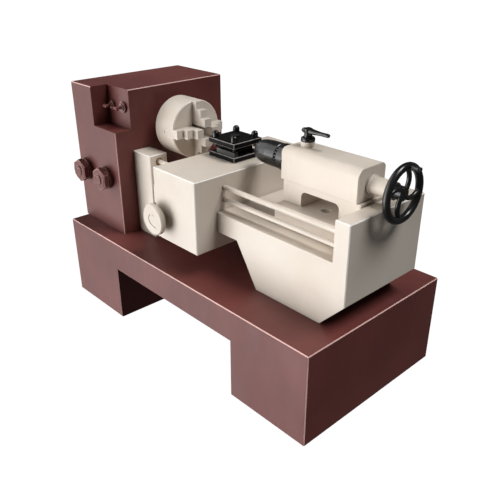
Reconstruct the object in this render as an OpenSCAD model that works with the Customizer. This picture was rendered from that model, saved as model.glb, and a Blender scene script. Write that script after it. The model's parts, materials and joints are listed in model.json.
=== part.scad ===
// Small metal lathe on a two-legged cabinet.
// Millimetres. +X runs from the headstock to the tailstock, +Y to the back, +Z up.
// The origin is on the floor, at the centre of the four anchor holes.

/* [Base cabinet] */
// Length of the cabinet
base_length = 1000; // [1000:10:1100]
// Depth of the cabinet
base_depth = 503; // [480:1:540]
// Height of the cabinet
base_height = 250; // [250:1:250]
// Length of each leg
leg_length = 249; // [230:1:260]
// Height of the opening between the legs
leg_gap_height = 166; // [120:1:190]
// Thickness of the cabinet's walls
cabinet_wall = 20; // [14:1:24]
// Spacing of the anchor holes along X
anchor_spacing_x = 750; // [740:5:760]
// Spacing of the anchor holes along Y
anchor_spacing_y = 400; // [380:5:410]
// Radius of the anchor holes
anchor_hole_r = 7; // [5:0.5:9]

/* [Headstock] */
// Left face of the headstock
head_left = -504; // [-510:1:-500]
// Right face of the headstock
head_right = -286; // [-286:1:-286]
// Depth of the headstock
head_depth = 390; // [380:2:400]
// Top of the headstock
head_top = 669; // [660:1:690]
// Wall of the headstock
head_wall = 16; // [14:1:18]
// Left side of the control notch
notch_left = -395; // [-400:1:-385]
// Back wall of the control notch
notch_back = -141.5; // [-145:0.5:-135]
// Floor of the control notch
notch_floor = 558; // [550:1:565]

/* [Spindle and chuck] */
// Height of the spindle axis
spindle_z = 557; // [557:1:557]
// Radius of the hole through the spindle
spindle_bore_r = 15; // [10:0.5:18]
// Back face of the chuck
chuck_back = -253; // [-253:1:-253]
// Thickness of the chuck
chuck_length = 84; // [80:1:88]
// Radius of the chuck
chuck_r = 82.3; // [80:0.1:84]
// Inner end of the jaws from the axis
jaw_inner = 16.4; // [16.4:0.2:17.4]
// Width of a jaw
jaw_width = 24; // [20:1:26]
// Radial length of one jaw step
jaw_step = 21.8; // [20:0.2:21.8]
// Height of one jaw step
jaw_rise = 17.5; // [14:0.1:17.5]
// How far the jaws open from where they stand
jaw_opening = 14.1; // [8:0.1:14.1]

/* [Bed] */
// Depth of the bed
bed_depth = 272; // [264:1:272]
// Top of the bed
bed_top = 416; // [416:1:416]
// Height of the beam
beam_height = 54; // [54:1:54]
// Right end of the bed
bed_right = 496; // [496:1:500]
// Thickness of the end block
end_block = 40; // [36:1:40]
// Top of the end block
end_block_top = 516; // [505:1:525]
// Top of the tailstock rail
rail_top = 467; // [467:1:467]
// Radius of the lead screw and the feed rod
rod_r = 6.5; // [5:0.5:8]
// Height of the lead screw
lead_z = 477.5; // [474:0.5:480]
// Height of the feed rod
feed_z = 444.5; // [440:0.5:446]
// Both rods' place across the bed
rod_y = -110; // [-114:1:-106]

/* [Carriage] */
// Left face of the carriage
carriage_left = -97; // [-100:1:-95]
// Right face of the carriage
carriage_right = 74.6; // [70:0.2:78]
// Front face of the carriage
carriage_front = -205; // [-210:1:-200]
// Back face of the carriage
carriage_rear = 214; // [200:1:220]
// Underside of the carriage
carriage_bottom = 314; // [314:1:330]
// Top of the carriage
carriage_top = 510.5; // [510.5:0.5:510.5]
// Radius of the apron dial
dial_r = 42.7; // [38:0.1:45]

/* [Tool post] */
// Side of the square tool post
post_side = 102; // [96:1:104]
// Centre of the tool post along X
post_x = -21; // [-24:1:-18]
// Centre of the tool post along Y
post_y = 15; // [10:1:20]
// Depth of the tool slots
slot_depth = 18; // [15:1:20]
// Top of the tool post
post_top = 562; // [560:1:566]

/* [Tailstock] */
// Left face of the tailstock housing
tail_left = 212.5; // [212.5:0.5:216]
// Right face of the tailstock housing
tail_right = 442.5; // [440:0.5:446]
// Width of the tailstock housing
tail_width = 97; // [90:1:100]
// Top of the tailstock housing
tail_top = 600; // [596:1:604]
// Rounding of the housing's top edges
tail_round = 20; // [14:1:24]
// Radius of the quill
quill_r = 20; // [18:0.5:21]
// Radius of the drill chuck
drill_chuck_r = 32; // [30:0.5:34]
// Outer radius of the handwheel
wheel_r = 68.3; // [67:0.1:70]
// Middle of the handwheel along X
wheel_x = 523.5; // [522:0.5:530]
// Radius of the handwheel rim's section
rim_r = 8.7; // [7:0.1:9]

/* [Hidden] */
$fn = 64;

MAROON = [0.42, 0.22, 0.21];
CREAM = [0.86, 0.82, 0.76];
BLACK = [0.07, 0.07, 0.07];
STEEL = [0.62, 0.62, 0.64];
BRONZE = [0.70, 0.52, 0.28];

edge = 2;            // chamfer along the edges of the big castings
running = 0.05;      // radial clearance of a running fit
gap = 0.3;           // gap between faces that slide or turn past each other
through = 1;         // how far a cutter runs past the face that it opens

leg_inner = base_length / 2 - leg_length;
cover_depth = 6;
cover_margin = 10;
cover_screw_r = 3;

chamber_right = head_right - 14;
end_cover_thickness = 4;
end_cover_margin = 6;
end_screw_inset = 11;
web_left = -470;
web_right = -456;
web_half = 70;
front_bearing_left = -332;
front_bearing_r = 50;
rear_bearing_r = 42;
spindle_left = -501;
spindle_r = 25;
spindle_front_r = 32;
spindle_nose_left = -275;
spindle_nose_r = 55;
gear_teeth = 40;
gear_module = 2.5;
gear_left = -400;
gear_width = 20;
counter_z = spindle_z - gear_teeth * gear_module;
counter_r = 12;

knob_z = 413.5;
knob_left_x = -462;
knob_right_x = -351;
knob_shaft_r = 8;
collar_front = -head_depth / 2 - 12;
lever_shaft_r = 5;
lever_left = [-370, 615];
lever_right = [-314.5, 617];

backplate_r = 70;
backplate_length = 12;
hub_r = 22;
slot_floor = 60;
key_floor = 44;
key_width = 12;
chuck_front = chuck_back + chuck_length;
bolt_circle_r = 42;

gearbox_right = -204.5;
gearbox_front = -140;
gearbox_back = -82;
gearbox_top = 498;
bush_length = 30;
bush_recess = 3;
bush_r = 11;

beam_bottom = bed_top - beam_height;
rail_left = 222;
rail_right = bed_right - end_block;
rod_right = rail_right + 20;
tunnel_half = bed_depth / 2 + gap;
nut_r = 14;
nut_length = 40;
dial_x = -70;
dial_z = 378;
dial_back = -222;
dial_front = -237;
dial_shaft_r = 8;
pinion_r = 8.6;
rack_front = -bed_depth / 2 - 12;

post_plate_top = 524.5;
cap_bottom = 548;
bolt_inset = 14;
stud_r = 8;
key_half_x = 15;
key_half_y = 9;
key_travel = 20;

tail_seat = 521;
arch_left = 278.5;
arch_right = 393;
arch_top = 506;
arch_round = 14;
screw_r = 8;
journal_r = 10;
quill_right = 376;
rail_hole_r = 12.5;
quill_bore_right = 382;
boss_right = 506;
hub_back = boss_right + gap;
hub_front = wheel_x + 4;
handle_length = 19;
lock_x = 252;
lock_boss_top = 612.7;
lock_pin_r = 6;
ring_r = wheel_r - rim_r;
handle_angle = 5;
handle_r = 5.5;

// ---------- shapes that repeat ----------

// A plain block between two corners
module block(low, high) {
    translate(low) cube(high - low);
}

// A rectangle with its four corners cut off
module cut_rectangle(low, high, cut) {
    polygon([
        [low.x + cut, low.y], [high.x - cut, low.y], [high.x, low.y + cut], [high.x, high.y - cut],
        [high.x - cut, high.y], [low.x + cut, high.y], [low.x, high.y - cut], [low.x, low.y + cut]
    ]);
}

// Extrudes a drawing in X and Z from y0 to y1
module along_y(y0, y1) {
    translate([0, y1, 0]) rotate([90, 0, 0]) linear_extrude(y1 - y0) children();
}

// Extrudes a drawing in Y and Z from x0 to x1
module along_x(x0, x1) {
    translate([x0, 0, 0]) rotate([90, 0, 90]) linear_extrude(x1 - x0) children();
}

// A block with all its edges chamfered
module soft_block(low, high, cut = edge) {
    intersection() {
        translate([0, 0, low.z])
            linear_extrude(high.z - low.z) cut_rectangle([low.x, low.y], [high.x, high.y], cut);
        along_y(low.y, high.y) cut_rectangle([low.x, low.z], [high.x, high.z], cut);
        along_x(low.x, high.x) cut_rectangle([low.y, low.z], [high.y, high.z], cut);
    }
}

// Round bars along each axis
module bar_x(x0, x1, r, y = 0, z = spindle_z) {
    translate([x0, y, z]) rotate([0, 90, 0]) cylinder(h = x1 - x0, r = r);
}

module bar_y(y0, y1, r, x, z) {
    translate([x, y1, z]) rotate([90, 0, 0]) cylinder(h = y1 - y0, r = r);
}

module bar_z(z0, z1, r, x, y) {
    translate([x, y, z0]) cylinder(h = z1 - z0, r = r);
}

// A disc with chamfered rims, standing on Z = 0
module soft_disc(h, r, cut = 1) {
    rotate_extrude()
        polygon([[0, 0], [r - cut, 0], [r, cut], [r, h - cut], [r - cut, h], [0, h]]);
}

// Places a shape that stands on Z = 0 so that it points along +X or towards the front
module point_x(x, y = 0, z = spindle_z) {
    translate([x, y, z]) rotate([0, 90, 0]) children();
}

module point_front(x, y, z) {
    translate([x, y, z]) rotate([90, 0, 0]) children();
}

// A spur gear with straight-sided teeth, standing on Z = 0
module spur_gear(teeth, bore_r, first_tooth) {
    pitch = 360 / teeth;
    root_r = teeth * gear_module / 2 - 1.3 * gear_module;
    tip_r = teeth * gear_module / 2 + 0.9 * gear_module;
    points = [
        for (tooth = [0 : teeth - 1])
            let (a = (tooth + first_tooth) * pitch)
                each [
                    root_r * [cos(a - 0.26 * pitch), sin(a - 0.26 * pitch)],
                    tip_r * [cos(a - 0.11 * pitch), sin(a - 0.11 * pitch)],
                    tip_r * [cos(a + 0.11 * pitch), sin(a + 0.11 * pitch)],
                    root_r * [cos(a + 0.26 * pitch), sin(a + 0.26 * pitch)]
                ]
    ];
    difference() {
        linear_extrude(gear_width) polygon(points);
        translate([0, 0, -through]) cylinder(h = gear_width + 2 * through, r = bore_r);
    }
}

// ---------- base cabinet ----------

module leg_cavity(side) {
    x0 = side > 0 ? leg_inner + cabinet_wall : -base_length / 2 + cabinet_wall;
    x1 = x0 + leg_length - 2 * cabinet_wall;
    block([x0, -base_depth / 2 + cabinet_wall, cabinet_wall],
          [x1, base_depth / 2 + through, base_height - cabinet_wall]);
    block([x0 - cover_margin, base_depth / 2 - cover_depth, cabinet_wall - cover_margin],
          [x1 + cover_margin, base_depth / 2 + through, base_height - cabinet_wall + cover_margin]);
}

module base_cabinet() {
    color(MAROON) difference() {
        soft_block([-base_length / 2, -base_depth / 2, 0], [base_length / 2, base_depth / 2, base_height]);
        block([-leg_inner, -base_depth, -through], [leg_inner, base_depth, leg_gap_height]);
        for (side = [-1, 1]) {
            leg_cavity(side);
            for (depth = [-1, 1])
                bar_z(-through, cabinet_wall + through, anchor_hole_r,
                      side * anchor_spacing_x / 2, depth * anchor_spacing_y / 2);
        }
        rear_cover_screw_set(cover_screw_r);
    }
}

module rear_cover_screw_set(r, head = false) {
    half_x = leg_length / 2 - cabinet_wall + cover_margin / 2;
    for (side = [-1, 1], x = [-1, 1], z = [cabinet_wall - cover_margin / 2, base_height - cabinet_wall + cover_margin / 2]) {
        centre = side * (leg_inner + leg_length / 2) + x * half_x;
        bar_y(base_depth / 2 - cover_depth - 8, base_depth / 2 - 1, r, centre, z);
        if (head) bar_y(base_depth / 2 - 1, base_depth / 2 + 2, 4.5, centre, z);
    }
}

module rear_cover(side) {
    x0 = (side > 0 ? leg_inner : -base_length / 2) + cabinet_wall - cover_margin;
    x1 = x0 + leg_length - 2 * cabinet_wall + 2 * cover_margin;
    color(MAROON) difference() {
        block([x0 + gap, base_depth / 2 - cover_depth, cabinet_wall - cover_margin + gap],
              [x1 - gap, base_depth / 2 - 1, base_height - cabinet_wall + cover_margin - gap]);
        rear_cover_screw_set(cover_screw_r);
        for (slat = [-2 : 2])
            block([(x0 + x1) / 2 - 45, base_depth / 2 - cover_depth - through, base_height / 2 + slat * 16 - 3],
                  [(x0 + x1) / 2 + 45, base_depth / 2 + through, base_height / 2 + slat * 16 + 3]);
    }
}

module rear_cover_left() rear_cover(-1);

module rear_cover_right() rear_cover(1);

module rear_cover_screws() {
    color(STEEL) rear_cover_screw_set(cover_screw_r, head = true);
}

// ---------- headstock ----------

module end_screw_set(r, head = false) {
    half_y = head_depth / 2 - end_screw_inset;
    for (y = [-half_y, half_y], z = [base_height + end_screw_inset, head_top - end_screw_inset]) {
        bar_x(head_left + end_cover_thickness / 2, head_left + 16, r, y, z);
        if (head) bar_x(head_left, head_left + end_cover_thickness / 2, 4.5, y, z);
    }
}

// The hollow inside the headstock, with the bearing web and the notch walls left standing
module gear_chamber() {
    half = head_depth / 2 - head_wall;
    difference() {
        block([head_left - through, -half, base_height + head_wall], [chamber_right, half, head_top - head_wall]);
        block([notch_left - head_wall, -head_depth, notch_floor - head_wall],
              [head_right, notch_back + head_wall, head_top]);
        block([web_left, -web_half, base_height], [web_right, web_half, spindle_z + web_half]);
        bar_x(front_bearing_left, chamber_right + through, front_bearing_r + 12);
        bar_x(chamber_right - 20, chamber_right + through, 2.5 * counter_r, 0, counter_z);
    }
}

module headstock_casing() {
    color(MAROON) difference() {
        soft_block([head_left, -head_depth / 2, base_height], [head_right, head_depth / 2, head_top]);
        block([notch_left, -head_depth, notch_floor], [head_right + through, notch_back, head_top + through]);
        gear_chamber();
        block([head_left - through, -head_depth / 2 + end_cover_margin, base_height + end_cover_margin],
              [head_left + end_cover_thickness, head_depth / 2 - end_cover_margin, head_top - end_cover_margin]);
        bar_x(front_bearing_left - through, head_right + through, front_bearing_r);
        bar_x(web_left - through, web_right + through, rear_bearing_r);
        bar_x(web_left - through, chamber_right + 10, counter_r + running, 0, counter_z);
        for (x = [knob_left_x, knob_right_x])
            bar_y(-head_depth / 2 - through, -head_depth / 2 + head_wall + through, knob_shaft_r + running, x, knob_z);
        for (place = [lever_left, lever_right])
            bar_y(notch_back - through, notch_back + head_wall + through, lever_shaft_r + running, place[0], place[1]);
        end_screw_set(2.5);
    }
}

module headstock_end_cover() {
    half = head_depth / 2 - end_cover_margin - gap;
    color(MAROON) difference() {
        block([head_left, -half, base_height + end_cover_margin + gap],
              [head_left + end_cover_thickness, half, head_top - end_cover_margin - gap]);
        bar_x(head_left - through, head_left + end_cover_thickness + through, spindle_r + 2);
        end_screw_set(2.5, head = true);
    }
}

module end_cover_screws() {
    color(STEEL) end_screw_set(2.5, head = true);
}

module bearing(x0, x1, inner_r, outer_r) {
    difference() {
        bar_x(x0, x1, outer_r);
        bar_x(x0 - through, x1 + through, inner_r + running);
    }
}

module front_bearing() {
    color(STEEL) bearing(front_bearing_left, head_right - 2, spindle_front_r, front_bearing_r);
}

module rear_bearing() {
    color(STEEL) bearing(web_left, web_right, spindle_r, rear_bearing_r);
}

module spindle() {
    color(STEEL) difference() {
        union() {
            bar_x(spindle_left, front_bearing_left, spindle_r);
            bar_x(front_bearing_left, spindle_nose_left, spindle_front_r);
            point_x(spindle_nose_left) soft_disc(chuck_back - spindle_nose_left, spindle_nose_r);
        }
        bar_x(spindle_left - through, chuck_back + through, spindle_bore_r);
        chuck_bolt_set(4);
    }
}

module spindle_gear() {
    color(STEEL) point_x(gear_left) spur_gear(gear_teeth, spindle_r, 0);
}

module countershaft() {
    color(STEEL) bar_x(web_left - 8, chamber_right + 9, counter_r, 0, counter_z);
}

module countershaft_gear() {
    color(STEEL) point_x(gear_left, 0, counter_z) spur_gear(gear_teeth, counter_r, 0.5);
}

module drive_pulley() {
    color(STEEL) difference() {
        union() {
            bar_x(-446, -440, 40, 0, counter_z);
            bar_x(-440, -426, 35, 0, counter_z);
            bar_x(-426, -420, 40, 0, counter_z);
        }
        bar_x(-446 - through, -420 + through, counter_r, 0, counter_z);
    }
}

module knob_collars() {
    color(MAROON) for (x = [knob_left_x, knob_right_x])
        difference() {
            point_front(x, -head_depth / 2, knob_z) soft_disc(-head_depth / 2 - collar_front, 33);
            bar_y(collar_front - through, -head_depth / 2 + through, knob_shaft_r + running, x, knob_z);
        }
}

// A hexagonal selector knob with a raised round cap and a C-shaped groove in the cap
module speed_knob(x) {
    back = collar_front - gap;
    neck = 4;
    hexagon = 19;
    cap = 3;
    color(MAROON) {
        point_front(x, back, knob_z) difference() {
            union() {
                cylinder(h = neck, r = 27);
                translate([0, 0, neck]) rotate([0, 0, 30]) cylinder(h = hexagon - neck - 2, r = 35, $fn = 6);
                soft_disc(hexagon, 29.5);
                soft_disc(hexagon + cap, 16);
            }
            translate([0, 0, hexagon + cap - 2]) rotate([0, 0, 60])
                rotate_extrude(angle = 250) translate([7, 0]) square([3, 3]);
        }
        bar_y(back, -head_depth / 2 + head_wall + 2, knob_shaft_r, x, knob_z);
        bar_y(-head_depth / 2 + head_wall + 2, -head_depth / 2 + head_wall + 8, 13, x, knob_z);
    }
}

module speed_knob_left() speed_knob(knob_left_x);

module speed_knob_right() speed_knob(knob_right_x);

// A round plate on the notch's back wall, with a short stem and a cross bar
module feed_lever(place, plate_r) {
    color(MAROON) {
        point_front(place[0], notch_back - gap, place[1]) {
            soft_disc(6, plate_r);
            cylinder(h = 9, r = plate_r * 0.6);
            cylinder(h = 25, r = 4);
        }
        bar_x(place[0] - 6, place[0] + 6, 5, notch_back - 25, place[1]);
        for (end = [-6, 6])
            translate([place[0] + end, notch_back - 25, place[1]]) sphere(r = 5);
        bar_y(notch_back - gap, notch_back + head_wall + 2, lever_shaft_r, place[0], place[1]);
        bar_y(notch_back + head_wall + 2, notch_back + head_wall + 6, 9, place[0], place[1]);
    }
}

module feed_lever_left() feed_lever(lever_left, 13);

module feed_lever_right() feed_lever(lever_right, 16);

// ---------- chuck ----------

module chuck_bolt_set(r, head = false) {
    for (a = [45 : 90 : 315]) {
        y = bolt_circle_r * cos(a);
        z = spindle_z + bolt_circle_r * sin(a);
        bar_x(spindle_nose_left, chuck_back + backplate_length - 2, r, y, z);
        if (head) bar_x(spindle_nose_left - 6, spindle_nose_left, 6.5, y, z);
    }
}

module chuck_backplate() {
    color(CREAM) difference() {
        union() {
            bar_x(chuck_back, chuck_back + backplate_length, backplate_r);
            bar_x(chuck_back + backplate_length, chuck_back + key_floor - 6, hub_r - running);
        }
        bar_x(chuck_back - through, chuck_back + key_floor, spindle_bore_r + 1);
        chuck_bolt_set(4);
    }
}

module chuck_bolts() {
    color(STEEL) chuck_bolt_set(4, head = true);
}

// Copies a shape to the four jaw places, where place 0 is the top
module jaw_place(quarter) {
    translate([chuck_back, 0, spindle_z]) rotate([quarter * -90, 0, 0]) children();
}

module chuck_body() {
    color(CREAM) difference() {
        point_x(chuck_back) soft_disc(chuck_length, chuck_r, 2.5);
        bar_x(chuck_back - through, chuck_back + key_floor, backplate_r);
        bar_x(chuck_back, chuck_front + through, hub_r);
        for (quarter = [0 : 3]) jaw_place(quarter) {
            block([slot_floor, -jaw_width / 2 - gap, 0], [chuck_length + through, jaw_width / 2 + gap, chuck_r + through]);
            block([key_floor - through, -key_width / 2 - gap, 0], [slot_floor + through, key_width / 2 + gap, chuck_r + through]);
        }
    }
}

module scroll_plate() {
    color(STEEL) difference() {
        bar_x(chuck_back + 16, chuck_back + 34, backplate_r - gap);
        bar_x(chuck_back, chuck_back + key_floor, hub_r);
        // The flat spiral is stood in for by three round grooves
        for (groove_r = [34, 46, 58])
            translate([chuck_back + 31, 0, spindle_z]) rotate([0, 90, 0])
                rotate_extrude() translate([groove_r, 0]) square([6, 4]);
    }
}

// A jaw with three steps that rise towards the axis, and a key that reaches back to the scroll
module jaw(quarter) {
    color(CREAM) jaw_place(quarter) {
        for (step = [0 : 2])
            block([slot_floor + gap, -jaw_width / 2, jaw_inner],
                  [chuck_length + jaw_rise * (3 - step), jaw_width / 2, jaw_inner + jaw_step * (step + 1)]);
        block([key_floor + gap, -key_width / 2, jaw_inner + 10],
              [slot_floor + gap, key_width / 2, jaw_inner + 3 * jaw_step]);
        block([key_floor - 8, -key_width / 2, jaw_inner + 10],
              [key_floor + gap, key_width / 2, backplate_r - jaw_opening - 1]);
    }
}

module jaw_top() jaw(0);

module jaw_back() jaw(1);

module jaw_bottom() jaw(2);

module jaw_front() jaw(3);

// ---------- feed gearbox and bed ----------

module gearbox_casing() {
    corner = 20;
    color(CREAM) difference() {
        intersection() {
            soft_block([head_right, gearbox_front, base_height], [gearbox_right, gearbox_back, gearbox_top]);
            along_y(gearbox_front - through, gearbox_back + through) union() {
                translate([head_right + corner, base_height + corner]) circle(r = corner);
                translate([head_right, base_height + corner])
                    square([gearbox_right - head_right, gearbox_top - base_height]);
                translate([head_right + corner, base_height]) square([gearbox_right - head_right - corner, corner]);
            }
        }
        for (z = [lead_z, feed_z])
            bar_x(gearbox_right - bush_length - 10, gearbox_right + through, bush_r, rod_y, z);
    }
}

module feed_bushes() {
    color(BRONZE) for (z = [lead_z, feed_z])
        difference() {
            bar_x(gearbox_right - bush_length, gearbox_right - bush_recess, bush_r, rod_y, z);
            bar_x(gearbox_right - bush_length - through, gearbox_right, rod_r + running, rod_y, z);
        }
}

module feed_bar(z) {
    bar_x(gearbox_right - bush_length - 5, rod_right - 2, rod_r, rod_y, z);
}

module lead_screw() {
    color(CREAM) feed_bar(lead_z);
}

module feed_rod() {
    color(CREAM) feed_bar(feed_z);
}

module bed_casting() {
    foot_left = 220;
    foot_right = 429;
    waist = 70;
    color(CREAM) difference() {
        intersection() {
            along_y(-bed_depth / 2, bed_depth / 2)
                polygon([
                    [head_right, beam_bottom], [foot_left - waist, beam_bottom],
                    [foot_left, base_height], [foot_right, base_height],
                    [bed_right, base_height + waist], [bed_right, end_block_top],
                    [rail_right, end_block_top], [rail_right, bed_top], [head_right, bed_top]
                ]);
            soft_block([head_right - edge, -bed_depth / 2, base_height - edge],
                       [bed_right, bed_depth / 2, end_block_top]);
        }
        for (z = [lead_z, feed_z])
            bar_x(rail_right - through, rod_right, rod_r + running, rod_y, z);
        block([head_right - through, -bed_depth, base_height], [gearbox_right, gearbox_back, bed_top + through]);
    }
}

module tailstock_rail() {
    color(CREAM) difference() {
        block([rail_left, -76, bed_top], [rail_right, 74, rail_top]);
        bar_z(rail_top - 40, rail_top + through, rail_hole_r, (arch_left + arch_right) / 2, -21);
    }
}

module rack() {
    color(STEEL) block([-96, rack_front, dial_z + pinion_r + gap], [-30, -bed_depth / 2, dial_z + 22]);
}

// ---------- carriage ----------

// The outer shape of the carriage, from which each of its castings takes its share
module carriage_share(low, high) {
    intersection() {
        soft_block([carriage_left, carriage_front, carriage_bottom],
                   [carriage_right, carriage_rear, carriage_top]);
        block(low, high);
    }
}

module saddle() {
    color(CREAM) difference() {
        carriage_share([carriage_left, carriage_front, bed_top + gap], [carriage_right, carriage_rear, carriage_top]);
        for (z = [lead_z, feed_z])
            bar_x(carriage_left - through, carriage_right + through, rod_r + 1, rod_y, z);
        for (z = [lead_z, feed_z])
            bar_x(carriage_left - through, carriage_left + nut_length, nut_r, rod_y, z);
        block([post_x - key_half_x - gap, post_y - key_half_y - key_travel - gap, carriage_top - 12],
              [post_x + key_half_x + gap, post_y + key_half_y + key_travel + gap, carriage_top + through]);
    }
}

module apron() {
    color(CREAM) difference() {
        carriage_share([carriage_left, carriage_front, carriage_bottom], [carriage_right, -tunnel_half, bed_top + gap]);
        bar_y(carriage_front - through, -tunnel_half + through, dial_shaft_r + running, dial_x, dial_z);
        bar_y(rack_front - 18, -tunnel_half + through, pinion_r + 3, dial_x, dial_z);
        block([carriage_left - through, rack_front - 3, dial_z + 4], [0, -tunnel_half + through, dial_z + 26]);
    }
}

module rear_keep() {
    color(CREAM)
        carriage_share([carriage_left, tunnel_half, carriage_bottom], [carriage_right, carriage_rear, bed_top + gap]);
}

module lower_keep() {
    color(CREAM)
        carriage_share([carriage_left, -tunnel_half, carriage_bottom], [carriage_right, tunnel_half, beam_bottom - gap]);
}

module lead_nut() {
    color(BRONZE) for (z = [lead_z, feed_z])
        difference() {
            bar_x(carriage_left, carriage_left + nut_length, nut_r, rod_y, z);
            bar_x(carriage_left - through, carriage_left + nut_length + through, rod_r + running, rod_y, z);
        }
}

module apron_dial() {
    color(CREAM) {
        point_front(dial_x, dial_back, dial_z) difference() {
            soft_disc(dial_back - dial_front, dial_r, 3);
            translate([0, 0, dial_back - dial_front - 2]) {
                rotate([0, 0, 60]) rotate_extrude(angle = 250) translate([13, 0]) square([4, 3]);
                translate([6, -20, 0]) cube([12, 5, 3]);
            }
        }
        point_front(dial_x, carriage_front - gap, dial_z) cylinder(h = carriage_front - gap - dial_back, r = 19);
        bar_y(carriage_front - gap, rack_front - 14, dial_shaft_r, dial_x, dial_z);
    }
}

module apron_pinion() {
    color(STEEL) bar_y(rack_front - 14, -tunnel_half - 1, pinion_r, dial_x, dial_z);
}

// ---------- tool post ----------

module post_square(half, z0, z1, cut) {
    translate([post_x, post_y, 0]) soft_block([-half, -half, z0], [half, half, z1], cut);
}

module slide_plate() {
    color(BLACK) {
        post_square(post_side / 2, carriage_top + gap, post_plate_top, 1.5);
        block([post_x - key_half_x, post_y - key_half_y, carriage_top - 11],
              [post_x + key_half_x, post_y + key_half_y, carriage_top + 2]);
    }
}

module turret_stud() {
    color(STEEL) bar_z(post_plate_top, post_top + 1, stud_r, post_x, post_y);
}

module turret_core() {
    half = post_side / 2 - slot_depth;
    color(BLACK) difference() {
        post_square(half, post_plate_top + gap, cap_bottom, 0.5);
        bar_z(post_plate_top, cap_bottom + through, stud_r + running, post_x, post_y);
    }
}

// Places a shape over each corner bolt of the tool post
module bolt_corners() {
    reach = post_side / 2 - bolt_inset;
    for (x = [-reach, reach], y = [-reach, reach])
        translate([post_x + x, post_y + y, 0]) children();
}

module turret_cap() {
    color(BLACK) difference() {
        post_square(post_side / 2, cap_bottom, post_top, 1.5);
        bar_z(cap_bottom - through, post_top + through, stud_r + running, post_x, post_y);
        bolt_corners() translate([0, 0, cap_bottom - through]) cylinder(h = post_top, r = 4.5);
    }
}

module clamp_bolts() {
    head_r = 9.2;
    color(BLACK) bolt_corners() {
        translate([0, 0, post_plate_top + 13]) cylinder(h = post_top - post_plate_top - 13, r = 4.5);
        translate([0, 0, post_top]) cylinder(h = head_r, r = head_r);
        translate([0, 0, post_top + head_r]) sphere(r = head_r);
    }
}

module turret_nut() {
    color(BLACK) translate([post_x, post_y, post_top + gap]) difference() {
        cylinder(h = 6, r = 13, $fn = 6);
        translate([0, 0, -through]) cylinder(h = 3, r = stud_r + running);
    }
}

module tool_bit() {
    half = post_side / 2;
    color(BLACK) block([post_x - 22, post_y - half + 4, post_plate_top + gap + 0.2],
                       [post_x + half - 2, post_y - half + slot_depth - 3, post_plate_top + 13]);
}

// ---------- tailstock ----------

module tailstock_base() {
    left = 219;
    right = 451;
    color(CREAM) difference() {
        soft_block([left, -46, rail_top + 0.1], [right, 44, tail_seat + edge]);
        block([left - through, -60, tail_seat], [right + through, 60, tail_seat + 10]);
        along_y(-60, 60) union() {
            translate([arch_left, rail_top - through])
                square([arch_right - arch_left, arch_top - arch_round - rail_top + through]);
            for (x = [arch_left + arch_round, arch_right - arch_round])
                translate([x, arch_top - arch_round]) circle(r = arch_round);
            translate([arch_left + arch_round, arch_top - arch_round - through])
                square([arch_right - arch_left - 2 * arch_round, arch_round + through]);
        }
    }
}

module tailstock_housing() {
    half = tail_width / 2;
    color(CREAM) difference() {
        intersection() {
            along_x(tail_left, tail_right) union() {
                for (y = [-half + tail_round, half - tail_round])
                    translate([y, tail_top - tail_round]) circle(r = tail_round);
                translate([-half, tail_seat]) square([tail_width, tail_top - tail_round - tail_seat]);
                translate([-half + tail_round, tail_top - tail_round - through])
                    square([tail_width - 2 * tail_round, tail_round + through]);
            }
            soft_block([tail_left, -half, tail_seat], [tail_right, half, tail_top]);
        }
        bar_x(tail_left - through, quill_bore_right, quill_r + running);
        bar_x(quill_bore_right - through, tail_right + through, journal_r + running);
        bar_z(tail_top - 17, tail_top + through, lock_pin_r + running, lock_x, 0);
    }
    // The boss under the lock lever
    color(CREAM) difference() {
        bar_z(tail_top, lock_boss_top, 17, lock_x, 0);
        bar_z(tail_top - through, lock_boss_top + through, lock_pin_r + running, lock_x, 0);
    }
}

module rear_boss() {
    color(CREAM) difference() {
        union() {
            point_x(tail_right) soft_disc(boss_right - tail_right, 20);
            point_x(tail_right) soft_disc(7, 22.5);
        }
        bar_x(tail_right - through, boss_right + through, journal_r + running);
    }
}

module quill() {
    color(STEEL) difference() {
        bar_x(200, quill_right, quill_r);
        bar_x(258, quill_right + through, screw_r + running);
    }
}

module drill_chuck_flange() {
    color(BLACK) {
        point_x(176) soft_disc(24, drill_chuck_r + 1.5, 2);
        bar_x(100, 176, 14);
    }
}

// The grip sleeve and nose of the drill chuck, which turn on its core
module drill_chuck_sleeve() {
    color(BLACK) difference() {
        point_x(90) rotate_extrude()
            polygon([
                [0, 0], [20, 0], [24, 4], [27.5, 13], [drill_chuck_r - 2, 25], [drill_chuck_r - 0.5, 45],
                [drill_chuck_r - 0.5, 77], [drill_chuck_r - 2, 79], [27, 79], [27, 85.5], [0, 85.5]
            ]);
        bar_x(100 - gap, 190, 14 + running);
        bar_x(75, 102, 6.5);
    }
}

// The lock lever: a round cap, a neck and a tapered handle
module lock_lever() {
    cap_top = 622;
    arm_z = 637;
    color(BLACK) {
        bar_z(lock_boss_top + gap - 28, lock_boss_top + gap, lock_pin_r, lock_x, 0);
        translate([lock_x, 0, lock_boss_top + gap]) soft_disc(cap_top - lock_boss_top - gap, 17);
        bar_z(cap_top, arm_z, 10, lock_x, 0);
        hull() {
            translate([lock_x - 13, 0, arm_z]) sphere(r = 7, $fn = 32);
            translate([lock_x, 0, arm_z]) scale([1, 1, 0.7]) sphere(r = 11, $fn = 32);
            translate([lock_x + 58, 0, arm_z]) sphere(r = 7.5, $fn = 32);
        }
    }
}

module quill_screw() {
    color(STEEL) {
        bar_x(262, quill_bore_right + 3, screw_r);
        bar_x(quill_bore_right + 3, hub_back, journal_r);
    }
}

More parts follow.
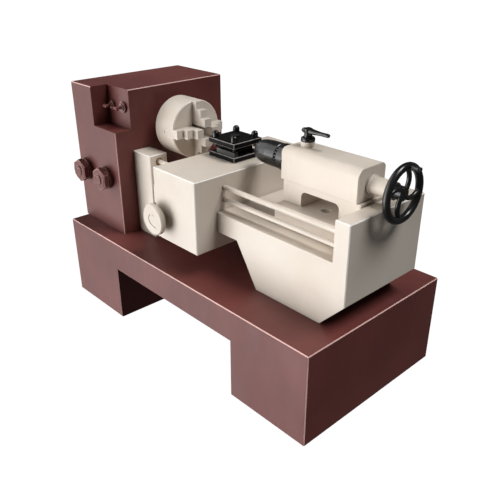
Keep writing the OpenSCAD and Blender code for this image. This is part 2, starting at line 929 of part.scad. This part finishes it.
module wheel_spokes() {
    hub_wheel_r = 16;
    bend_r = 36;
    chord = ring_r;
    half_angle = asin(chord / 2 / bend_r);
    centre_offset = bend_r * cos(half_angle);
    color(BLACK) difference() {
        union() {
            point_x(hub_back) soft_disc(hub_front - hub_back, hub_wheel_r, 1.5);
            for (quarter = [0 : 3])
                translate([wheel_x, 0, spindle_z]) rotate([quarter * 90, 0, 0])
                    translate([0, -centre_offset, chord / 2]) rotate([0, 90, 0]) rotate([0, 0, 90 - half_angle])
                        rotate_extrude(angle = 2 * half_angle) translate([bend_r, 0]) circle(r = 5.5);
        }
        rim_ring();
    }
}

module rim_ring() {
    translate([wheel_x, 0, spindle_z]) rotate([0, 90, 0])
        rotate_extrude() translate([ring_r, 0]) circle(r = rim_r);
}

// Places a shape on the handle's axis, pointing along +X
module at_handle(x) {
    translate([x, ring_r * sin(handle_angle), spindle_z + ring_r * cos(handle_angle)])
        rotate([0, 90, 0]) children();
}

module wheel_rim() {
    color(BLACK) difference() {
        rim_ring();
        at_handle(wheel_x) cylinder(h = 2 * rim_r, r = 3);
    }
}

module handle_stud() {
    reach = rim_r + handle_length + 2;
    color(BLACK) at_handle(wheel_x) {
        cylinder(h = reach, r = 3);
        translate([0, 0, reach]) soft_disc(2.5, handle_r - 0.5, 0.8);
    }
}

module wheel_handle() {
    color(BLACK) difference() {
        at_handle(wheel_x + rim_r + 1) soft_disc(handle_length, handle_r, 1.5);
        at_handle(wheel_x) cylinder(h = 60, r = 3 + running);
    }
}

base_cabinet();
rear_cover_left();
rear_cover_right();
rear_cover_screws();
headstock_casing();
headstock_end_cover();
end_cover_screws();
front_bearing();
rear_bearing();
knob_collars();
spindle();
spindle_gear();
countershaft();
countershaft_gear();
drive_pulley();
speed_knob_left();
speed_knob_right();
feed_lever_left();
feed_lever_right();
chuck_backplate();
chuck_bolts();
chuck_body();
scroll_plate();
jaw_top();
jaw_back();
jaw_bottom();
jaw_front();
gearbox_casing();
feed_bushes();
lead_screw();
feed_rod();
bed_casting();
tailstock_rail();
rack();
saddle();
apron();
rear_keep();
lower_keep();
lead_nut();
apron_dial();
apron_pinion();
slide_plate();
turret_stud();
turret_core();
turret_cap();
clamp_bolts();
turret_nut();
tool_bit();
tailstock_base();
tailstock_housing();
rear_boss();
quill();
drill_chuck_flange();
drill_chuck_sleeve();
lock_lever();
quill_screw();
wheel_spokes();
wheel_rim();
handle_stud();
wheel_handle();
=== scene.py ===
"""The looks of a small metal lathe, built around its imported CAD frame."""
import json
import math

import bmesh
import bpy
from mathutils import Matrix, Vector


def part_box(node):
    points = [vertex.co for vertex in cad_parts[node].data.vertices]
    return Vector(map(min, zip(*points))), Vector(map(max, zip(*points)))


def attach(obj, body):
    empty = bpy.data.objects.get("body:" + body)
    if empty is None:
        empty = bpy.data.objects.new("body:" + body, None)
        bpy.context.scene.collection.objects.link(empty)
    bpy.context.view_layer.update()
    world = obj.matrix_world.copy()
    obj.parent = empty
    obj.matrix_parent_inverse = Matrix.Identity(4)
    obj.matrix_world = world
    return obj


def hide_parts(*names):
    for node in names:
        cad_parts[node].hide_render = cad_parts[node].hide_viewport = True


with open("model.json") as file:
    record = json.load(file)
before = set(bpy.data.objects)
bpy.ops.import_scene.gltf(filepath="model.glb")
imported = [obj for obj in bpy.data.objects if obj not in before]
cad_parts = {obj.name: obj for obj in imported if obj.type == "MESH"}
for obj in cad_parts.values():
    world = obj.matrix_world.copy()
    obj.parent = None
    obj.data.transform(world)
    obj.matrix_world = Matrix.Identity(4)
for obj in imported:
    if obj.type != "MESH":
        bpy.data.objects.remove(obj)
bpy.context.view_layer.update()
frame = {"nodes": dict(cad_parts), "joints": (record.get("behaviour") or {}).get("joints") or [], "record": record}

# ---------- camera ----------

CAMERA_PLACE = Vector((1.1829, -1.0607, 1.0263))
CAMERA_AIM = Vector((-0.0837, 0.1284, 0.1607))
CAMERA_LENS = 44.19      # millimetres
SENSOR_WIDTH = 36.0      # millimetres


def add_camera():
    """The scene's camera, in front of the machine, to its right and above it."""
    data = bpy.data.cameras.new("camera")
    data.lens = CAMERA_LENS
    data.sensor_width = SENSOR_WIDTH
    data.clip_start = 0.01
    data.clip_end = 50.0
    camera = bpy.data.objects.new("camera", data)
    camera.location = CAMERA_PLACE
    camera.rotation_euler = (CAMERA_AIM - CAMERA_PLACE).to_track_quat("-Z", "Y").to_euler()
    bpy.context.scene.collection.objects.link(camera)
    bpy.context.scene.camera = camera


# ---------- light and floor ----------

# Each studio light has the direction from the machine towards it, its strength and its width in degrees
LIGHTS = {
    "key": (Vector((1.05, 0.7, 2.4)), 2.35, 26),
    "front_high": (Vector((-1.0, -2.0, 0.5)), 1.30, 50),
    "front_low": (Vector((-1.05, -1.8, -0.66)), 2.50, 48),
    "left": (Vector((-1.0, -0.4, 0.5)), 1.30, 60),
}
LIGHT_DISTANCE = 3.0     # where the lights stand, though a sun shines alike from any distance
ROOM_LIGHT = 0.084
WHITE = (1.0, 1.0, 1.0, 1.0)
FLOOR_HALF_WIDTH = 15.0
FLOOR_DROP = 0.0005      # keeps the floor just under the machine's feet


def add_lights():
    """Soft suns: one from above, two from the front and one from the left."""
    for name, (direction, strength, width) in LIGHTS.items():
        data = bpy.data.lights.new(name, "SUN")
        data.energy = strength
        data.angle = math.radians(width)
        light = bpy.data.objects.new(name, data)
        light.location = LIGHT_DISTANCE * direction
        light.rotation_euler = (-direction).to_track_quat("-Z", "Y").to_euler()
        bpy.context.scene.collection.objects.link(light)
    bpy.context.scene.view_settings.view_transform = "Standard"


def add_room():
    """A white room to look at, which gives the machine only a faint even light."""
    world = bpy.data.worlds.new("studio")
    world.use_nodes = True
    tree = world.node_tree
    room = tree.nodes["Background"]
    room.inputs["Color"].default_value = WHITE
    room.inputs["Strength"].default_value = ROOM_LIGHT
    backdrop = tree.nodes.new("ShaderNodeBackground")
    backdrop.inputs["Color"].default_value = WHITE
    path = tree.nodes.new("ShaderNodeLightPath")
    choice = tree.nodes.new("ShaderNodeMixShader")
    tree.links.new(path.outputs["Is Camera Ray"], choice.inputs[0])
    tree.links.new(room.outputs["Background"], choice.inputs[1])
    tree.links.new(backdrop.outputs["Background"], choice.inputs[2])
    tree.links.new(choice.outputs["Shader"], tree.nodes["World Output"].inputs["Surface"])
    bpy.context.scene.world = world


def add_floor():
    """A white floor that glows evenly and neither shades nor lights the machine."""
    mesh = bpy.data.meshes.new("floor")
    build = bmesh.new()
    bmesh.ops.create_grid(build, x_segments=1, y_segments=1, size=FLOOR_HALF_WIDTH)
    build.to_mesh(mesh)
    build.free()
    floor = bpy.data.objects.new("floor", mesh)
    floor.location.z = -FLOOR_DROP
    for flag in ("visible_diffuse", "visible_glossy", "visible_transmission", "visible_shadow"):
        setattr(floor, flag, False)
    bpy.context.scene.collection.objects.link(floor)
    material = bpy.data.materials.new("floor_white")
    material.use_nodes = True
    shader = material.node_tree.nodes["Principled BSDF"]
    shader.inputs["Base Color"].default_value = (0.05, 0.05, 0.05, 1)
    shader.inputs["Roughness"].default_value = 1.0
    shader.inputs["Specular IOR Level"].default_value = 0.0
    shader.inputs["Emission Color"].default_value = WHITE
    shader.inputs["Emission Strength"].default_value = 1.0
    mesh.materials.append(material)


# ---------- materials ----------

class Nodes:
    """A short way to add nodes to a material and join them."""

    def __init__(self, name):
        self.material = bpy.data.materials.new(name)
        self.material.use_nodes = True
        self.tree = self.material.node_tree
        self.shader = self.tree.nodes["Principled BSDF"]
        self.place = self.add("ShaderNodeTexCoord").outputs["Object"]

    def add(self, kind, **settings):
        """Adds a node and sets its options."""
        node = self.tree.nodes.new(kind)
        for key, value in settings.items():
            setattr(node, key, value)
        return node

    def feed(self, target, source):
        """Joins an output to an input, or sets the input to a plain value."""
        if hasattr(source, "is_output"):
            self.tree.links.new(source, target)
        else:
            target.default_value = source

    def noise(self, scale, detail=3.0, roughness=0.5, stretch=None):
        """Cloudy noise, about 0 to 1, with scale clouds to a metre."""
        node = self.add("ShaderNodeTexNoise")
        place = self.place
        if stretch:
            mapping = self.add("ShaderNodeMapping")
            mapping.inputs["Scale"].default_value = stretch
            self.feed(mapping.inputs["Vector"], place)
            place = mapping.outputs["Vector"]
        self.feed(node.inputs["Vector"], place)
        node.inputs["Scale"].default_value = scale
        node.inputs["Detail"].default_value = detail
        node.inputs["Roughness"].default_value = roughness
        return node.outputs["Fac"]

    def spread(self, source, low, high, to_low=0.0, to_high=1.0):
        """Maps low..high of a value to to_low..to_high, smoothly and clamped."""
        node = self.add("ShaderNodeMapRange", interpolation_type="SMOOTHSTEP")
        self.feed(node.inputs["Value"], source)
        node.inputs["From Min"].default_value = low
        node.inputs["From Max"].default_value = high
        node.inputs["To Min"].default_value = to_low
        node.inputs["To Max"].default_value = to_high
        return node.outputs["Result"]

    def math(self, operation, first, second):
        """The result of one operation on two values."""
        node = self.add("ShaderNodeMath", operation=operation)
        self.feed(node.inputs[0], first)
        self.feed(node.inputs[1], second)
        return node.outputs["Value"]

    def mix(self, factor, first, second):
        """The first colour where the factor is 0, the second where it is 1."""
        node = self.add("ShaderNodeMix", data_type="RGBA")
        self.feed(node.inputs["Factor"], factor)
        self.feed(node.inputs["A"], first)
        self.feed(node.inputs["B"], second)
        return [out for out in node.outputs if out.type == "RGBA"][0]

    def edges(self, radius):
        """1 along sharp edges and 0 elsewhere, from how far a rounded normal leans from the real one."""
        bevel = self.add("ShaderNodeBevel", samples=6)
        bevel.inputs["Radius"].default_value = radius
        geometry = self.add("ShaderNodeNewGeometry")
        lean = self.add("ShaderNodeVectorMath", operation="DOT_PRODUCT")
        self.feed(lean.inputs[0], bevel.outputs["Normal"])
        self.feed(lean.inputs[1], geometry.outputs["Normal"])
        return self.spread(lean.outputs["Value"], 0.98, 0.90)

    def chamfers(self):
        """1 on the faces that lean away from all three axes, which on the castings are the chamfers."""
        normal = self.add("ShaderNodeTexCoord").outputs["Normal"]
        apart = self.add("ShaderNodeSeparateXYZ")
        self.feed(apart.inputs["Vector"], normal)
        sizes = [self.math("ABSOLUTE", part, 0.0) for part in apart.outputs]
        largest = self.math("MAXIMUM", self.math("MAXIMUM", sizes[0], sizes[1]), sizes[2])
        diagonal = 0.715     # a little over the cosine of 45 degrees
        return self.math("LESS_THAN", largest, diagonal)

    def crevices(self, reach):
        """1 in the open and less in corners."""
        occlusion = self.add("ShaderNodeAmbientOcclusion", samples=6)
        occlusion.inputs["Distance"].default_value = reach
        return occlusion.outputs["AO"]

    def bump(self, height, strength, distance):
        """Roughens the surface by a height that varies over it."""
        node = self.add("ShaderNodeBump")
        node.inputs["Strength"].default_value = strength
        node.inputs["Distance"].default_value = distance
        self.feed(node.inputs["Height"], height)
        self.feed(self.shader.inputs["Normal"], node.outputs["Normal"])


def colour(red, green, blue):
    """An opaque colour."""
    return (red, green, blue, 1.0)


def darker(original, share):
    """A colour dimmed to a share of itself."""
    return colour(*(share * channel for channel in original[:3]))


def paint(name, base, shade, tint, edge_wear_and_highlight, roughness, specular, boxed):
    """Machine enamel: mottled colour, a fine orange peel, bright edges that are partly wear and partly painted
    highlight, and painted shade in the corners.
    """
    made = Nodes(name)
    clouds = made.noise(4.5, detail=4.0)
    speckle = made.noise(220.0, roughness=0.6)
    peel = made.noise(900.0, detail=2.0)
    smears = made.noise(16.0, detail=5.0, roughness=0.65, stretch=(1.0, 1.0, 0.35))
    body = made.mix(made.spread(clouds, 0.35, 0.65), base, shade)
    body = made.mix(made.spread(smears, 0.52, 0.75, 0.0, 0.35), body, tint)
    body = made.mix(made.spread(speckle, 0.62, 0.72, 0.0, 0.10), body, shade)
    # painted shade: the paint is darkened where ambient occlusion finds corners
    corner = made.spread(made.crevices(0.02), 0.25, 0.9, 0.45, 0.0)
    body = made.mix(corner, body, darker(shade, 0.45))
    edges = made.chamfers() if boxed else made.edges(0.0018)
    # painted highlight along the edges, with some wear; the same mask also roughens them
    edge_wear_and_highlight_mask = made.math("MULTIPLY", edges, made.spread(made.noise(35.0), 0.2, 0.5, 0.75, 1.0))
    body = made.mix(made.math("MULTIPLY", edge_wear_and_highlight_mask, 0.9), body, edge_wear_and_highlight)
    made.feed(made.shader.inputs["Base Color"], body)
    gloss = made.spread(smears, 0.3, 0.7, roughness - 0.05, roughness + 0.07)
    made.feed(made.shader.inputs["Roughness"], made.math("ADD", gloss, made.math("MULTIPLY", edge_wear_and_highlight_mask, 0.1)))
    made.shader.inputs["Specular IOR Level"].default_value = specular
    made.bump(peel, 0.12, 0.0003)
    return made.material


def black_enamel(name, boxed):
    """Black enamel: glossy on round parts, and duller on the tool post, with bright edges that are partly wear and
    partly painted highlight.
    """
    made = Nodes(name)
    clouds = made.noise(18.0, detail=4.0)
    scratches = made.noise(60.0, detail=2.0, stretch=(1.0, 6.0, 6.0))
    base, shade = colour(0.004, 0.004, 0.004), colour(0.010, 0.009, 0.009)
    body = made.mix(made.spread(clouds, 0.35, 0.7), base, shade)
    body = made.mix(made.spread(scratches, 0.66, 0.72, 0.0, 0.4), body, colour(0.05, 0.05, 0.05))
    edges = made.chamfers() if boxed else made.edges(0.0012)
    # painted highlight along the edges, with some wear, strongest on the tool post
    edge_wear_and_highlight_mask = made.math("MULTIPLY", edges, made.spread(made.noise(90.0), 0.3, 0.55, 0.5, 1.0))
    body = made.mix(made.math("MULTIPLY", edge_wear_and_highlight_mask, 0.8 if boxed else 0.3), body, colour(0.42, 0.39, 0.38))
    made.feed(made.shader.inputs["Base Color"], body)
    roughness = 0.40 if boxed else 0.20
    made.feed(made.shader.inputs["Roughness"], made.spread(clouds, 0.3, 0.7, roughness, roughness + 0.12))
    made.shader.inputs["Specular IOR Level"].default_value = 0.06 if boxed else 0.55
    made.bump(made.noise(700.0, detail=2.0), 0.1, 0.0002)
    return made.material


def bare_metal(name, light, dark, roughness):
    """Unpainted metal with a fine grain that runs along X."""
    made = Nodes(name)
    grain = made.noise(140.0, detail=4.0, roughness=0.6, stretch=(0.2, 3.0, 3.0))
    clouds = made.noise(14.0)
    body = made.mix(made.spread(grain, 0.3, 0.7), light, dark)
    body = made.mix(made.spread(clouds, 0.5, 0.8, 0.0, 0.35), body, dark)
    made.feed(made.shader.inputs["Base Color"], body)
    made.shader.inputs["Metallic"].default_value = 1.0
    gloss = made.spread(grain, 0.2, 0.8, roughness - 0.08, roughness + 0.12)
    made.feed(made.shader.inputs["Roughness"], gloss)
    made.bump(grain, 0.15, 0.0002)
    return made.material


# The parts with square edges: their chamfer faces take the bright edge colour, partly wear and partly painted
# highlight
BOXED = (
    "base_cabinet", "headstock_casing", "gearbox_casing", "bed_casting",
    "saddle", "apron", "rear_keep", "lower_keep", "tailstock_base",
    "slide_plate", "turret_core", "turret_cap",
)


def maroon_paint(name, boxed):
    """The cabinet's and headstock's paint."""
    return paint(
        name,
        base=colour(0.152, 0.0400, 0.0345),
        shade=colour(0.122, 0.0310, 0.0265),
        tint=colour(0.178, 0.0540, 0.0455),
        # the edge colour: painted highlight, with some wear
        edge_wear_and_highlight=colour(0.80, 0.52, 0.47),
        roughness=0.45,
        specular=0.38,
        boxed=boxed,
    )


def cream_paint(name, boxed):
    """The paint of the bed, carriage, tailstock and chuck."""
    return paint(
        name,
        base=colour(0.70, 0.625, 0.545),
        shade=colour(0.65, 0.57, 0.485),
        tint=colour(0.74, 0.67, 0.593),
        # the edge colour: painted highlight, with some wear
        edge_wear_and_highlight=colour(0.98, 0.95, 0.91),
        roughness=0.40,
        specular=0.5,
        boxed=boxed,
    )


def make_materials():
    """One material for each material slot, and a second one for its parts with square edges."""
    return {
        "maroon_paint": maroon_paint("maroon_paint_look", False),
        "maroon_paint_boxed": maroon_paint("maroon_casting_look", True),
        "cream_paint": cream_paint("cream_paint_look", False),
        "cream_paint_boxed": cream_paint("cream_casting_look", True),
        "black_enamel": black_enamel("black_enamel_look", False),
        "black_enamel_boxed": black_enamel("black_tool_post_look", True),
        "bare_steel": bare_metal(
            "bare_steel_look",
            light=colour(0.56, 0.56, 0.57),
            dark=colour(0.36, 0.36, 0.38),
            roughness=0.32,
        ),
        "bronze": bare_metal(
            "bronze_look",
            light=colour(0.60, 0.38, 0.18),
            dark=colour(0.42, 0.25, 0.11),
            roughness=0.34,
        ),
    }


SMOOTH_ANGLE = math.radians(28)


def dress(node, material):
    """Gives a mesh its material, and smooth shading except at sharp edges."""
    node.data.materials.clear()
    node.data.materials.append(material)
    node.data.polygons.foreach_set("use_smooth", [True] * len(node.data.polygons))
    node.data.set_sharp_from_angle(angle=SMOOTH_ANGLE)


def dress_frame(materials):
    """Dresses every CAD part by its material slot."""
    for part in frame["record"]["subparts"]:
        look = part["material_slot"]
        if part["node"] in BOXED:
            look += "_boxed"
        dress(frame["nodes"][part["node"]], materials[look])


# ---------- details added to the frame ----------

JOINTS = {joint["name"]: joint for joint in frame["joints"]}


def add_piece(name, body, material, points, faces):
    """A smooth mesh piece that moves with a body of the frame."""
    mesh = bpy.data.meshes.new(name)
    mesh.from_pydata(points, [], faces)
    mesh.validate()
    piece = bpy.data.objects.new(name, mesh)
    bpy.context.scene.collection.objects.link(piece)
    dress(piece, material)
    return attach(piece, body)


def skin(rings, sides):
    """Faces that join each ring of points to the next one and close the first and the last."""
    faces = []
    for ring in range(rings - 1):
        for side in range(sides):
            after = (side + 1) % sides
            low, high = ring * sides, (ring + 1) * sides
            faces.append((low + side, low + after, high + after, high + side))
    faces.append(tuple(reversed(range(sides))))
    faces.append(tuple(range((rings - 1) * sides, rings * sides)))
    return faces


def loft(sections, sides):
    """Points and faces of a solid along X, from (centre, half_y, half_z) of its elliptical sections."""
    points = []
    for centre, half_y, half_z in sections:
        for side in range(sides):
            turn = 2 * math.pi * side / sides
            points.append(centre + Vector((0, half_y * math.cos(turn), half_z * math.sin(turn))))
    return points, skin(len(sections), sides)


def lathe_up(centre, outline, sides):
    """Points and faces of a solid turned about a vertical axis, from (radius, height) pairs."""
    points = []
    for radius, height in outline:
        for side in range(sides):
            turn = 2 * math.pi * side / sides
            points.append(centre + Vector((radius * math.cos(turn), radius * math.sin(turn), height)))
    return points, skin(len(outline), sides)


def lever_neck(low):
    """The lever's shank, round cap and waisted neck, turned about the lever's own axis."""
    outline = [
        (0.0060, 0.0000), (0.0060, 0.0280), (0.0150, 0.0280), (0.0170, 0.0300),
        (0.0170, 0.0345), (0.0155, 0.0370), (0.0110, 0.0390), (0.0092, 0.0430),
        (0.0098, 0.0480), (0.0112, 0.0530), (0.0100, 0.0575), (0.0060, 0.0595),
    ]
    foot = Vector((JOINTS["lock_lever_turn"]["pos_m"][0], 0.0, low.z))
    return lathe_up(foot, outline, 48)


def lever_grip(low, high):
    """The lever's handle: a bar along X, thicker to the left of its middle, with blunt rounded ends."""
    mean_half, swell = 0.0071, 0.0016
    flatness = 0.82          # height over width
    blunt_end = 0.12         # the ends' size over the bar's
    middle_z = high.z - 0.0078
    steps = 28
    sections = []
    for step in range(steps + 1):
        along = step / steps
        x = low.x + along * (high.x - low.x)
        rounding = math.sqrt(max(0.0, 1.0 - (2 * along - 1) ** 10))
        half = mean_half + swell * math.cos(2 * math.pi * (along - 0.25))
        half *= max(rounding, blunt_end)
        sections.append((Vector((x, 0.0, middle_z)), half, half * flatness))
    return loft(sections, 32)


def add_lock_lever(material):
    """The smooth lock lever, in place of the faceted one."""
    low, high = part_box("lock_lever")
    shapes = {"lock_lever_neck": lever_neck(low), "lock_lever_grip": lever_grip(low, high)}
    for name, (points, faces) in shapes.items():
        piece = add_piece(name, "lock_lever", material, points, faces)
        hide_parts("lock_lever")


def add_flange_teeth(material):
    """The ring of key teeth at the back of the drill chuck's sleeve."""
    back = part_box("drill_chuck_sleeve")[1].x
    axis = JOINTS["drill_chuck_sleeve_turn"]["pos_m"]
    teeth = 24
    root_radius, tip_radius = 0.0265, 0.0305
    root_half, tip_half = 0.30, 0.17         # half a tooth's width, as a share of the pitch
    start_x, end_x = back - 0.0066, back - 0.0016
    outline = (
        (root_radius, -root_half), (root_radius, root_half),
        (tip_radius, tip_half), (tip_radius, -tip_half),
    )
    tooth_faces = (
        (0, 1, 2, 3), (7, 6, 5, 4),
        (0, 4, 5, 1), (1, 5, 6, 2), (2, 6, 7, 3), (3, 7, 4, 0),
    )
    points, faces = [], []
    for tooth in range(teeth):
        first = len(points)
        for x in (start_x, end_x):
            for radius, lean in outline:
                turn = 2 * math.pi * (tooth + lean) / teeth
                y = axis[1] + radius * math.cos(turn)
                z = axis[2] + radius * math.sin(turn)
                points.append(Vector((x, y, z)))
        for face in tooth_faces:
            faces.append(tuple(first + corner for corner in face))
    add_piece("drill_chuck_teeth", "drill_chuck_sleeve", material, points, faces)


add_camera()
add_lights()
add_room()
add_floor()
materials = make_materials()
dress_frame(materials)
add_lock_lever(materials["black_enamel"])
add_flange_teeth(materials["black_enamel"])
